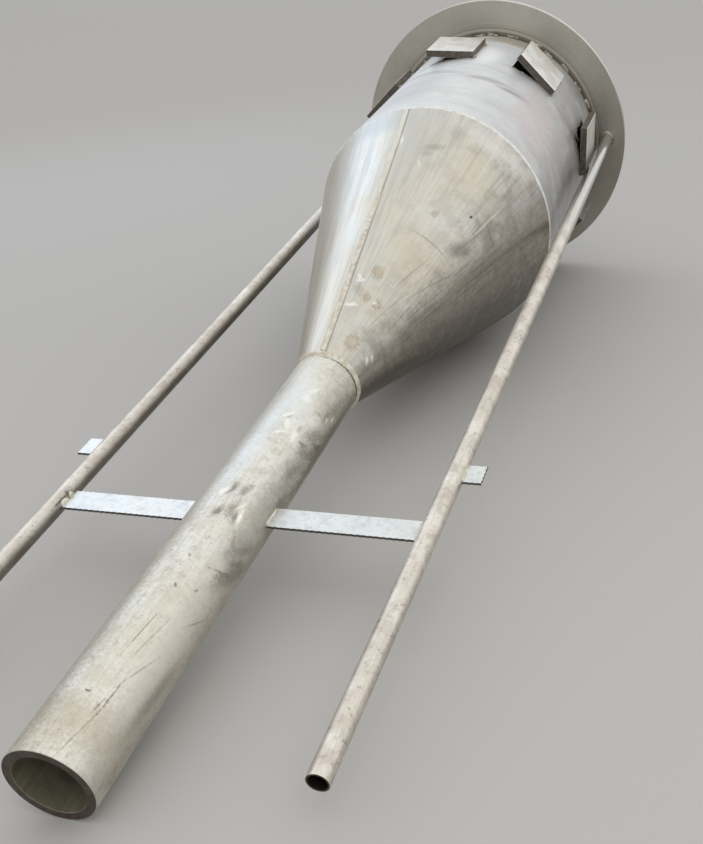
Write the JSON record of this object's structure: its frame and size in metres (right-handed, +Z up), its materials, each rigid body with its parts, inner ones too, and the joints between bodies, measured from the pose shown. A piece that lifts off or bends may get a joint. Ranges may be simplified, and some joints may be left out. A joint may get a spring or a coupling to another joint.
{
  "type": "cyclone separator",
  "caption": "Hanging steel cyclone separator with a ring flange, hooded tangential inlets, a cone, a thick dipleg and braced side tubes.",
  "frame": {"origin": "on the axis, in the plane of the ring flange's underside", "axes": "+Z up along the axis, the dipleg points down, +X to the right side tube"},
  "size_m": [0.7839, 0.784, 2.522],
  "materials": {
    "flange_steel": "matt rolled plate",
    "barrel_steel": "bright rolled sheet",
    "cone_steel": "scratched rolled sheet",
    "dipleg_steel": "pickled pipe",
    "head_steel": "matt rolled sheet",
    "hood_steel": "cut plate",
    "tube_steel": "drawn tube",
    "bar_steel": "bright flat bar",
    "weld_steel": "heat tinted weld"
  },
  "bodies": {
    "root": {"ring_flange": "flange_steel", "barrel_shell": "barrel_steel", "cone_shell": "cone_steel", "dipleg_pipe": "dipleg_steel", "roof_plate": "head_steel", "outlet_pipe": "head_steel", "hood_plate_1": "hood_steel", "hood_plate_2": "hood_steel", "hood_plate_3": "hood_steel", "hood_plate_4": "hood_steel", "hood_plate_5": "hood_steel", "hood_plate_6": "hood_steel", "hood_plate_7": "hood_steel", "hood_plate_8": "hood_steel", "side_tube_right": "tube_steel", "side_tube_left": "tube_steel", "brace_right": "bar_steel", "brace_left": "bar_steel", "tab_right": "bar_steel", "tab_left": "bar_steel", "flange_stitch_welds": "weld_steel", "hood_tack_welds": "weld_steel", "barrel_cone_weld": "weld_steel", "cone_seam_weld": "weld_steel", "cone_dipleg_weld": "weld_steel", "tube_weld_right": "weld_steel", "tube_weld_left": "weld_steel", "brace_welds_right": "weld_steel", "brace_welds_left": "weld_steel", "tab_weld_right": "weld_steel", "tab_weld_left": "weld_steel"}
  },
  "joints": []
}
